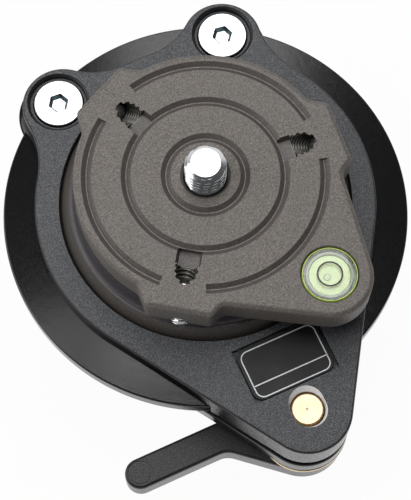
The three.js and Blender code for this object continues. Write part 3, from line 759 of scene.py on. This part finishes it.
def clamp_ring():
    body = prism("clamp_detail", clamp_plan(), CLAMP_UNDER, CLAMP_TOP, 0.0, 0.65)
    nose = prism("nose", nose_plan(0.03), NOSE_UNDER, CLAMP_TOP - 0.8, 0.9)
    cut(nose, cylinder("under", RIM_RADIUS + GAP, NOSE_UNDER - OVER, CLAMP_UNDER, 160))
    join(body, nose)
    cut(body, ball_opening(), *[ear_recess(x, y) for x, y in EAR_SCREWS])
    middle, length = label_place()
    recess = rectangle(21.0, length + 0.6, 0.5, ASIDE, middle)
    cut(body, prism("label_recess", recess, CLAMP_TOP - 1.4, CLAMP_TOP + OVER))
    shaft = cylinder("shaft", SCREW_BORE, NOSE_UNDER - OVER, CLAMP_TOP - 3.2, 64, 0, -NOSE_REACH)
    cut(body, pocket(), shaft)
    dressed(body, "clamp", "clamp_ring", CRACKLE)

    def in_pocket(x, y, z):
        away = math.hypot(x - ASIDE, (y + NOSE_REACH - POCKET_OFF) / 1.2)
        # painted shade: the pocket's floor keeps the black paint, only its walls get the bare metal colour
        return away < 4.7 and CLAMP_TOP - POCKET_DEPTH + 0.1 < z < CLAMP_TOP - JUST_OVER

    paint(body, POCKET_WALL, in_pocket)


clamp_ring()


def label():
    """The bare label, with a border and one line across it."""
    low, face = foot("label_plate"), top("label_plate")
    middle, length = label_place()
    plan = rectangle(20.2, length - 0.1, 2.4, ASIDE, middle, 10)
    plate = prism("label_detail", plan, low, face - 0.03, 0, 0.12, 3)
    dressed(plate, "clamp", "label_plate", FOIL)
    line, under = 0.27, face - 0.06
    middle -= 0.2  # the border and the line lie a little towards the tie stud
    points, normals = rectangle(18.6, 11.6, 2.0, ASIDE, middle, 10)
    inner = points - line * normals
    rings = [raised(points, under), raised(points, face), raised(inner, face), raised(inner, under)]
    border = stacked("label_border", rings, closed=True)
    dressed(border, "clamp", None, WHITE_PRINT_AND_GLINT)
    bar = prism("label_bar", rectangle(18.4, line, 0.1, ASIDE, middle - 2.55, 2), under, face)
    dressed(bar, "clamp", None, WHITE_PRINT_AND_GLINT)


label()


def tie_stud():
    low, head = foot("tie_stud"), CLAMP_TOP - 0.5
    shank, edge, face, dot = 3.0, 3.7, 3.4, 0.3
    stud = lathe("tie_stud_detail", [
        (0, low), (shank - 0.6, low), (shank, low + 0.6), (shank, head - 2.7), (edge, head - 2.7),
        (edge, head - 0.35), (face, head), (dot, head), (0, head - 0.25),
    ], 96, 0, -NOSE_REACH)
    dressed(stud, "clamp", "tie_stud", BRASS, 24)
    # painted shade on the head's chamfer and side
    paint(stud, BRASS_EDGE_SHADE, lambda x, y, z: math.hypot(x, y + NOSE_REACH) > face + 0.05 and z < head - 0.02)


tie_stud()


# The base


def cavity():
    """The hollow of the bowl, down to the round seat of the bush."""
    inner, floor, seat, seat_radius = 39.6, 8.5, 14.0, 11.0
    return lathe("cavity", [
        (0, seat), (seat_radius, seat, 0.5), (seat_radius, floor, 0.8), (31.06, floor),
        *sphere_arc(inner, angle_at(inner, 12.5), angle_at(inner, BASE_TOP), 20),
        (37.4, BASE_TOP + OVER), (0, BASE_TOP + OVER),
    ])


def base():
    bowl, foot_radius, crown, post = 42.1, 30.0, 39.5, 9.05
    rim_top = BASE_TOP - 1.35
    rim_under = rim_top - 4.2
    low_angle = -math.degrees(math.acos(foot_radius / bowl))
    body = lathe("base_detail", [
        (0, 0), (foot_radius, 0, 0.6), *sphere_arc(bowl, low_angle, 0, 20), (bowl, rim_under - 2.5, 1.2),
        (RIM_RADIUS, rim_under, 0.5), (RIM_RADIUS, rim_top, 0.5), (crown, BASE_TOP), (0, BASE_TOP),
    ], 192)
    low, high = BASE_TOP - 17.5, BASE_TOP - 2
    for x, y in EARS:
        join(body, lathe("post", [(0, low), (post, low, 1.0), (post, high), (0, high)], 96, x, y))
    join(body, prism("pads", clamp_plan(False), rim_under, BASE_TOP - 0.02, 0.4))
    join(body, prism("pad_foot", clamp_plan(False), BASE_TOP - 1.55, BASE_TOP - 0.05, -1.45))
    join(body, prism("arm", nose_plan(), foot("thrust_washer") + 1.5, NOSE_UNDER - 2.7, 0.7, 0.7))
    cut(body, cavity())
    for x, y in EAR_SCREWS:
        cut(body, cylinder("tap", SCREW_BORE, BASE_TOP - 9, BASE_TOP + OVER, 48, x, y))
    cut(body, cylinder("stud_hole", SCREW_BORE, 30, 42, 48, 0, -NOSE_REACH))
    cut(body, cylinder("bush_hole", 8.0, -OVER, 15))
    dressed(body, "base", "base_body", RIM)


base()


def bush():
    low, high = foot("tripod_bush"), top("tripod_bush")
    outer, root, crest = 7.7, 4.15, 4.75
    body = lathe("bush_detail", [(0, low), (outer, low, 0.25), (outer, high, 0.25), (0, high)], 96)
    cut(body, threaded("bush_thread", low - 2, high + 2, root, crest, STUD_PITCH, sides=64))
    dressed(body, "base", "tripod_bush", ZINC, 40)


bush()


def ear_screws():
    """Countersunk screws, whose hexagon sockets narrow downwards."""
    head, edge = CLAMP_TOP - 0.6, 5.85
    for side, (x, y), turn in zip(("left", "right"), EAR_SCREWS, (-4, -9)):
        screw = lathe(f"ear_screw_{side}_detail", [
            (0, head - 12), (2.6, head - 12), (3.0, head - 11.6), (3.0, head - 3.35), (edge, head - 0.5),
            (edge, head, 0.22), (0, head),
        ], 96, x, y)
        cut(screw, hexagon("socket", 4.6, head - 1.2, head + 0.2, x, y, turn, 3.0))
        dressed(screw, "base", f"ear_screw_{side}", ZINC, 28)
        # painted shade on the walls of the socket
        paint(screw, SOCKET_SHADE, lambda a, b, z: math.hypot(a - x, b - y) < 2.6 and head - 1.18 < z < head - 0.02)


ear_screws()


# The lever


def lever():
    """A hub with an arm whose upper edge touches it, bent towards the arm's lower edge."""
    hub, top_edge, low_edge, end = 10.0, 10.0, 2.7, 3.65
    reach, bend, fillet = 39.1, 18.5, 5.0
    down = math.degrees(math.asin(hub / math.hypot(bend, low_edge)) + math.atan2(low_edge, bend))
    set_back = fillet * math.tan(math.radians(down) / 2)
    points, normals = outline(
        arc(-reach, top_edge - end, end, 90, 270, 32),
        arc(-bend - set_back, low_edge - fillet, fillet, 90, 90 - down, 12, False),
        arc(0, 0, hub, 270 - down, 450, 56),
    )
    low, high = foot("lever"), top("lever")
    y = -NOSE_REACH
    body = prism("lever_detail", (points + [0, y], normals), low, high, 0.7, 0.8)
    cut(body, cylinder("bore", 3.8, low - OVER, high + OVER, 64, 0, y))
    cut(body, hexagon("nut_pocket", 10.6, low - OVER, low + 5.3, 0, y))
    mark_y, depth, over = y + top_edge - end, 0.3, 0.2
    mark = [(2.55, high - depth), (2.85, high - depth), (3.0, high + over), (2.4, high + over)]
    cut(body, lathe("mark", mark, 96, -reach, mark_y))
    dressed(body, "lever", "lever", LEVER)

    def in_mark(a, b, z):
        return 2.4 < math.hypot(a + reach, b - mark_y) < 3.0 and high - 0.32 < z < high - 0.02

    # painted shade: the groove of the round mark is coloured near black
    paint(body, INK_AND_SHADE, in_mark)


lever()


def thrust_washer():
    low, high, outer = foot("thrust_washer"), top("thrust_washer"), 10.4
    corners = [(SCREW_BORE, low), (outer, low, 0.2), (outer, high, 0.2), (SCREW_BORE, high)]
    washer = lathe("washer_detail", corners, 128, 0, -NOSE_REACH)
    dressed(washer, "lever", "thrust_washer", BRASS)


thrust_washer()


# The head


def at_rest(made):
    """Turns a piece of the head, made with its first lobe on +X, to how it stands at rest."""
    turned(made, PLATE_TURN)


def plate_plan():
    lobe, half, root_half, root = 32.6, 7.4, 9.9, 28.6
    corner, fillet, radius = 1.3, 2.4, 30.0
    level = 9.8
    side = 90 - math.degrees(math.atan2(root_half - half, lobe - root))
    side_reach = root * math.cos(math.radians(side)) + root_half * math.sin(math.radians(side))
    lean = 90 - nose_lean(radius, level, LEVEL_REACH)
    arcs = []

    def corner_arc(angle, sign):
        """The rounded corner of a lobe, before (-1) or after (1) its middle."""
        x, y = meet(0, lobe - corner, side, side_reach - corner)
        start, end = (0, side) if sign > 0 else (-side, 0)
        arcs.append(arc(*spin(x, sign * y, angle), corner, angle + start, angle + end, 8))

    def round_fillet(angle, sign):
        """The hollow between a lobe and the round of the plate."""
        away = math.sqrt((radius + fillet) ** 2 - (side_reach + fillet) ** 2)
        x, y = spin(side_reach + fillet, -away, side)
        place = angle_of(x, y)
        turns = (side + 180, place + 180) if sign > 0 else (-place - 180, -side - 180)
        arcs.append(arc(*spin(x, sign * y, angle), fillet, angle + turns[0], angle + turns[1], 8, False))
        return place

    def line_fillet(angle, sign, other):
        """The hollow between a lobe and the straight side of the level's lobe, whose normal is at other."""
        x, y = meet(sign * side, side_reach + fillet, other, radius + fillet)
        turns = (side + 180, other + 180) if sign > 0 else (other + 180, -side + 180)
        arcs.append(arc(*spin(x, y, angle), fillet, angle + turns[0], angle + turns[1], 8, False))

    first, second, third = LOBE_ANGLES
    for here, following in ((first, second), (second, third)):
        corner_arc(here, 1)
        place = round_fillet(here, 1)
        arcs.append(arc(0, 0, radius, here + place, following - place, 56))
        round_fillet(following, -1)
        corner_arc(following, -1)
    corner_arc(third, 1)
    start, end = LEVEL_ANGLE - lean + 360, LEVEL_ANGLE + lean
    line_fillet(third, 1, start - third)
    arcs.append(arc(*polar(LEVEL_REACH, LEVEL_ANGLE), level, start, end + 360, 56))
    line_fillet(first, -1, end)
    corner_arc(first, -1)
    return outline(*arcs)


def groove(radius, start=0.0, end=360.0):
    """A ring of V section, or a stretch of one, that cuts a groove with a narrow floor."""
    half, over, floor, steps_per_turn = 1.1, 0.4, 0.11, 240
    spread = half * (1 + over / GROOVE_DEPTH)
    section = [(-floor, -GROOVE_DEPTH), (floor, -GROOVE_DEPTH), (spread, over), (-spread, over)]
    closed = end - start >= 360
    turns = np.radians(np.linspace(start, end, int((end - start) / 360 * steps_per_turn) + 1))
    rings = [
        np.array([(*((radius + r) * way), PLATE_TOP + z) for r, z in section])
        for way in np.column_stack([np.cos(turns), np.sin(turns)])[:-1 if closed else None]
    ]
    return stacked("groove", rings, closed)


def slot(end, depth):
    """A channel with sloping sides and a flat floor, from the second groove out to a set screw's hole."""
    floor, spread, over = SLOT_HALF - 0.5, SLOT_HALF + 0.3, 1.0
    wall = [(spread, over), (SLOT_HALF, 0), (floor, -depth)]
    section = wall + [(-y, z) for y, z in wall[::-1]]
    return stacked("slot", [np.array([(x, y, PLATE_TOP + z) for y, z in section]) for x in (GROOVES[1], end)])


def bright_ledge(end, depth):
    """The narrow ledge where the floor of a slot ends at the hole of its set screw. Its floor is coloured
    light: part bare worn metal, part painted highlight of the step's edge.
    """
    line = rectangle(0.22, 4.6, 0.05, end - 0.1, 0, 2)
    return prism("ledge", line, PLATE_TOP - depth - LEDGE_DEPTH, PLATE_TOP - depth + 0.3)


def tapped_hole(angle, end):
    """The threaded hole of a set screw, from where its slot ends."""
    hole = slanted(threaded("hole", -17, 4.6, HOLE_ROOT, HOLE_CREST, SCREW_PITCH), 0)
    length, overlap = 30.0, 0.05
    plan = rectangle(length, 12.0, 0.3, end + length / 2 - overlap, 0, 2)
    room = prism("room", plan, PLATE_TOP - 20.0, PLATE_TOP + 5.0)
    return turned(combine(hole, [room], "INTERSECT"), angle)


def from_screw_axis(x, y, z, angle):
    """Distances of a point outside, and along, the slanted axis of the set screw at an angle."""
    a, b = spin(x, y, -angle)
    out, up = a - SCREW_REACH, z - PLATE_TOP
    along = (out - up) * math.sqrt(0.5)
    return math.sqrt(max(0.0, out * out + b * b + up * up - along * along)), along


def cap_holes(low, high):
    """Cutters for the cap screws that hold the plate on the ball."""
    return [cylinder("cap_hole", CAP_BORE, low, high, 32, *polar(CAP_REACH, angle)) for angle in CAP_ANGLES]


def flared_bore(name, bore, mouth, low, heights, x=0, y=0):
    """A cutter for a bore in the plate, which widens between two heights given from its face."""
    high = PLATE_TOP + OVER
    return lathe(name, [
        (0, low), (bore, low), (bore, PLATE_TOP + heights[0]), (mouth, PLATE_TOP + heights[1]),
        (mouth, high), (0, high),
    ], 96, x, y)


def plate():
    body = prism("plate_detail", plate_plan(), PLATE_UNDER, PLATE_TOP, 0.9, 1.2, 8)
    cut(body, groove(GROOVES[0]), groove(GROOVES[1]))
    for angle in LOBE_ANGLES:
        cut(body, groove(GROOVES[2], angle + GROOVE_STOP, angle + 120 - GROOVE_STOP))
    for angle, end, depth in SLOTS:
        cut(body, turned(slot(end, depth), angle), turned(bright_ledge(end, depth), angle))
        cut(body, tapped_hole(angle, end))
    cut(body, flared_bore("stud", STUD_BORE, 5.75, PLATE_UNDER - OVER, (-0.9, 0.02)))
    x, y = polar(LEVEL_REACH, LEVEL_ANGLE)
    cut(body, flared_bore("level_pocket", 6.5, 6.8, PLATE_TOP - 7.1, (-0.25, 0.1), x, y))
    cut(body, *cap_holes(PLATE_UNDER - OVER, PLATE_UNDER + 5.5))
    dressed(body, "head", "top_plate", BRONZE)
    painted_plate(body)
    at_rest(body)


def painted_plate(body):
    """Gives the grooves, the slots and the tapped holes their own finishes. The walls of the grooves and
    slots and the roots of the threads get painted shade. The narrow groove floors and the light line at each
    slot's end are part bare metal and part painted highlight.
    """

    def in_groove(x, y, z, half, low, high):
        near = any(abs(math.hypot(x, y) - r) < half for r in GROOVES)
        return near and low < PLATE_TOP - z < high

    def in_hole(x, y, z, low, high):
        for angle, end, _ in SLOTS:
            away, along = from_screw_axis(x, y, z, angle)
            if low < away < high and along > -4.5 and z < PLATE_TOP - 0.02 and spin(x, y, -angle)[0] > end:
                return True
        return False

    def in_slot(x, y, z, low, high):
        """Whether a point is in a slot, between two heights over its floor."""
        for angle, end, depth in SLOTS:
            a, b = spin(x, y, -angle)
            if GROOVES[1] < a < end and abs(b) < SLOT_HALF + 0.05 and z < PLATE_TOP - 0.03:
                return low < z - PLATE_TOP + depth < high
        return False

    crest = HOLE_ROOT + 0.15
    # painted shade on the walls of the grooves
    paint(body, WALL_SHADE, in_groove, 1.15, 0.02, GROOVE_DEPTH + 0.01)
    # the lighter groove floors: part burnished metal, part painted highlight
    paint(body, GROOVE, in_groove, 0.16, GROOVE_DEPTH - 0.05, GROOVE_DEPTH + 0.05)
    # painted shade on the sloping walls of the slots
    paint(body, WALL_SHADE, in_slot, 0.03, PLATE_TOP)
    paint(body, MACHINED, in_hole, HOLE_ROOT - 0.1, crest)
    # painted shade in the roots of the threads
    paint(body, THREAD_ROOT_SHADE, in_hole, crest, HOLE_CREST + 0.03)
    paint(body, SLOT_FLOOR, in_slot, -0.01, 0.01)
    # the ledge's floor: part bare worn metal, part painted highlight
    paint(body, WEAR_AND_HIGHLIGHT, in_slot, -LEDGE_DEPTH - 0.01, 0.01 - LEDGE_DEPTH)


plate()


def ball():
    """The ball with its waisted neck, hollow below a web that the cap screws and the stud pass."""
    neck, waist = 31.9, 1.7
    neck_foot = BALL_CENTRE + math.sqrt(BALL_RADIUS**2 - neck**2)
    crown, low = top("ball"), foot("ball")
    inner = BALL_RADIUS - 5.0
    web = crown - 8.0
    rise = crown - neck_foot
    turns = np.radians(np.linspace(8, 90, 12))
    hollow = [(neck - waist * math.sin(t) ** 0.8, neck_foot + rise * (1 - math.cos(t))) for t in turns]
    body = lathe("ball_detail", [
        *sphere_arc(BALL_RADIUS, -28, angle_at(BALL_RADIUS, neck_foot), 36), *hollow, (STUD_BORE, crown),
        (STUD_BORE, web), *sphere_arc(inner, angle_at(inner, web), angle_at(inner, low), 20),
    ], 192)
    for angle in LOBE_ANGLES:
        cut(body, slanted(cylinder("notch", 3.5, -30, -8.8, 48), angle))
    cut(body, *cap_holes(web - OVER, crown + OVER))
    at_rest(body)
    dressed(body, "head", "ball", BALL, 28)


ball()


def camera_stud():
    low, tip = foot("camera_stud"), top("camera_stud")
    head = low + 5.6
    root, crest, tip_radius = 3.9, 4.76, 3.35
    thread_foot = PLATE_TOP - 2.4
    stud = threaded("camera_stud_detail", thread_foot, tip, root, crest, STUD_PITCH, 1.1, tip_radius, 96, 14)
    join(stud, cylinder("shank", 4.5, head - OVER, thread_foot + 0.2, 64), hexagon("hex", 14.3, low, head))
    at_rest(stud)
    dressed(stud, "head", "camera_stud", STUD, 40)


camera_stud()


def set_screws():
    """Grub screws with a threaded side, a coned tip and a hexagon socket at the lower end."""
    solid_depth, length = 3.9, 7.7
    low = -solid_depth / math.sin(SLANT) - length
    root, crest, tip_radius = 1.85, 2.08, 1.5
    for i, (angle, depth) in enumerate(zip(LOBE_ANGLES, TIP_DEPTHS)):
        name = f"set_screw_{i + 1}"
        tip = -depth / math.sin(SLANT)
        screw = threaded(f"{name}_detail", low, tip, root, crest, SCREW_PITCH, 0.8, tip_radius)
        cut(screw, hexagon("socket", 3.0, low - OVER, low + 3.0))
        slanted(screw, angle)
        at_rest(screw)
        dressed(screw, name, name, STUD, 40)


set_screws()


def level():
    """A bullseye level: a cup, a frosted well round the fluid, and a clear cap with the target on it."""
    x, y = polar(LEVEL_REACH, LEVEL_ANGLE)
    low, rim = foot("level_cup"), top("level_cup")
    outer, well, cap_radius, chamber, pool = 6.2, 6.02, 5.98, 5.35, 4.65
    deep, shallow, frost_top = rim - 2.4, rim - 0.8, rim - 0.35

    def dome(r):
        return rim + 0.33 * (1 - (r / 6.0) ** 2)

    cup = lathe("cup_detail", [
        (0, low), (outer, low, 0.2), (outer, rim, 0.06), (well, rim, 0.05), (well, deep), (chamber, deep),
        (chamber, low + 1), (0, low + 1),
    ], 128, x, y)
    frost = lathe("frost_ring", [
        (pool, low + 1.2), (chamber - 0.02, low + 1.2), (chamber - 0.02, frost_top, 0.08),
        (pool + 0.12, frost_top, 0.08), (pool, shallow),
    ], 128, x, y)
    skin = pipe("well_skin", well - 0.05, well - 0.01, deep + 0.02, rim - 0.06, x, y)
    floor = pipe("well_floor", chamber + 0.01, well - 0.04, deep + 0.01, deep + 0.05, x, y)
    crown = [(r, dome(r)) for r in np.linspace(cap_radius, 0, 16)]
    cap = lathe("window_detail", [(0, rim - 0.25), (cap_radius, rim - 0.25), *crown], 128, x, y)
    brim = pool - 0.03
    drop = [(0, low + 1.3), (brim, low + 1.3), (brim, shallow, 0.1), (0, shallow)]
    fluid = lathe("fluid_detail", drop, 128, x, y)
    near, middle, far = 2.56, 2.75, 2.94
    crest = [(r, dome(r) + 0.012) for r in (near, middle, far)]
    target = lathe("target_ring", [*crest, (far, rim + 0.2), (near, rim + 0.2)], 128, x, y)
    bubble_at = (x - 0.685, y - 0.289)
    skim = shallow + 0.05
    edge = [(0.62, shallow), (0.84, shallow), (0.78, skim), (0.68, skim)]
    bubble = lathe("bubble_edge", edge, 64, *bubble_at)
    # painted highlight: a white disc on the fluid beside the bubble
    glint = [(0, shallow), (0.24, shallow), (0.16, skim), (0, skim + 0.01)]
    for made, node, material, slot in (
        (cup, "level_cup", CUP, "level_cup"),
        (frost, None, FROST, "level_window"),
        (skin, None, FROST, "level_window"),
        (floor, None, FROST, "level_window"),
        (cap, "level_window", WINDOW, "level_window"),
        (fluid, "level_fluid", FLUID, "level_fluid"),
        (target, None, INK_AND_SHADE, "level_fluid"),
        (bubble, None, FROST, "level_fluid"),
        (lathe("bubble_painted_glint", glint, 48, *bubble_at), None, WHITE_PRINT_AND_GLINT, "level_fluid"),
    ):
        at_rest(made)
        dressed(made, "head", node, material)


level()


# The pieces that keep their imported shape
for material, nodes in (
    (NYLON, ("lower_seat_ring", "upper_seat_ring")),
    (ZINC, ("stud_washer", "lever_nut")),
    (DARK_STEEL, ("plate_screw_1", "plate_screw_2", "plate_screw_3")),
):
    for node in nodes:
        for entry in frame["nodes"][node].material_slots:
            entry.material = material


# Floor, light and camera. Lengths are in metres from here on


def stage():
    """A pale floor that rises into a low pale wall far behind the part."""
    look = Look("floor")
    look.colour(look.ramp(look.noise(400), (0.3, (0.84, 0.84, 0.84)), (0.7, (0.88, 0.88, 0.88))))
    look.set(Roughness=0.9, Specular_IOR_Level=0.0)
    rays = look.add("ShaderNodeLightPath")
    seen = look.math("MAXIMUM", rays, rays, "Is Camera Ray", "Is Glossy Ray")
    seen = look.math("MAXIMUM", seen, rays, output_b="Is Transmission Ray")
    look.between(look.shader, look.add("ShaderNodeEmission"), look.math("MULTIPLY", seen, 0.96))
    sides, radius, bend, wall_top = 96, 3.5, 0.5, 0.75
    turns = np.radians(np.linspace(0, 90, 10))
    rows = [(radius + bend * math.sin(t), bend - bend * math.cos(t)) for t in turns]
    rows.append((radius + bend, wall_top))
    ways = [polar(1, 360 * i / sides) for i in range(sides)]
    points = [(0, 0, 0)] + [(r * a, r * b, z) for r, z in rows for a, b in ways]
    faces = []
    for i in range(sides):
        j = (i + 1) % sides
        faces.append([0, 1 + i, 1 + j])
        for k in range(len(rows) - 1):
            a, b = 1 + k * sides, 1 + (k + 1) * sides
            faces.append([a + i, b + i, b + j, a + j])
    mesh = bpy.data.meshes.new("floor")
    mesh.from_pydata(points, [], faces)
    mesh.materials.append(look.material)
    mesh.shade_smooth()
    linked("floor", mesh)


stage()


def world():
    made = bpy.data.worlds.new("world")
    made.use_nodes = True
    shade = made.node_tree.nodes["Background"]
    shade.inputs["Color"].default_value = (0.96, 0.98, 1.0, 1)
    shade.inputs["Strength"].default_value = 0.10
    bpy.context.scene.world = made


world()

# The camera that the photo was taken with, as fitted to the part's round edges
CAMERA_AT = Vector((-0.0586, -0.119325, 0.42563))
FORWARD = Vector((0.1355, 0.2960, -0.9455)).normalized()
UP = Vector((0.3936, 0.8597, 0.3256)).normalized()
FOCAL_PIXELS, FRAME_PIXELS = 1700, 500

# Away from the camera and to its right, along the floor
BACK = Vector((0.4163, 0.9092, 0))
RIGHT = Vector((0.9092, -0.4163, 0))


def placed(data, at, side, up, back):
    """An object at a place, which looks against its back."""
    made = linked(data.name, data)
    made.matrix_world = Matrix.Translation(at) @ Matrix((side, up, back)).transposed().to_4x4()
    return made


def softbox(name, place, target, width, length, glow):
    """A lamp of one brightness; its place and target are (right, back, up) from the origin."""
    at, aim = (RIGHT * r + BACK * b + Vector((0, 0, h)) for r, b, h in (place, target))
    back = (at - aim).normalized()
    side = BACK.cross(back).normalized()
    data = bpy.data.lights.new(name, "AREA")
    data.shape = "RECTANGLE"
    data.size, data.size_y = width, length
    data.energy = glow * math.pi * width * length
    placed(data, at, side, back.cross(side), back).visible_camera = False


softbox("softbox", (0.0, 0.33, 0.66), (0.0, 0.33, 0.0), 0.34, 0.80, 4.0)
softbox("low_softbox", (-0.30, -0.06, 0.62), (-0.30, -0.06, 0.0), 0.20, 0.22, 2.8)
softbox("side_softbox", (-0.66, 0.0, 0.46), (0.0, 0.0, 0.05), 0.6, 0.6, 2.4)


def camera():
    data = bpy.data.cameras.new("camera")
    data.lens = FOCAL_PIXELS / FRAME_PIXELS * data.sensor_width
    data.clip_start, data.clip_end = 0.01, 20
    back = -FORWARD
    side = UP.cross(back).normalized()
    bpy.context.scene.camera = placed(data, CAMERA_AT, side, back.cross(side).normalized(), back)


camera()
bpy.context.scene.view_settings.view_transform = "Standard"
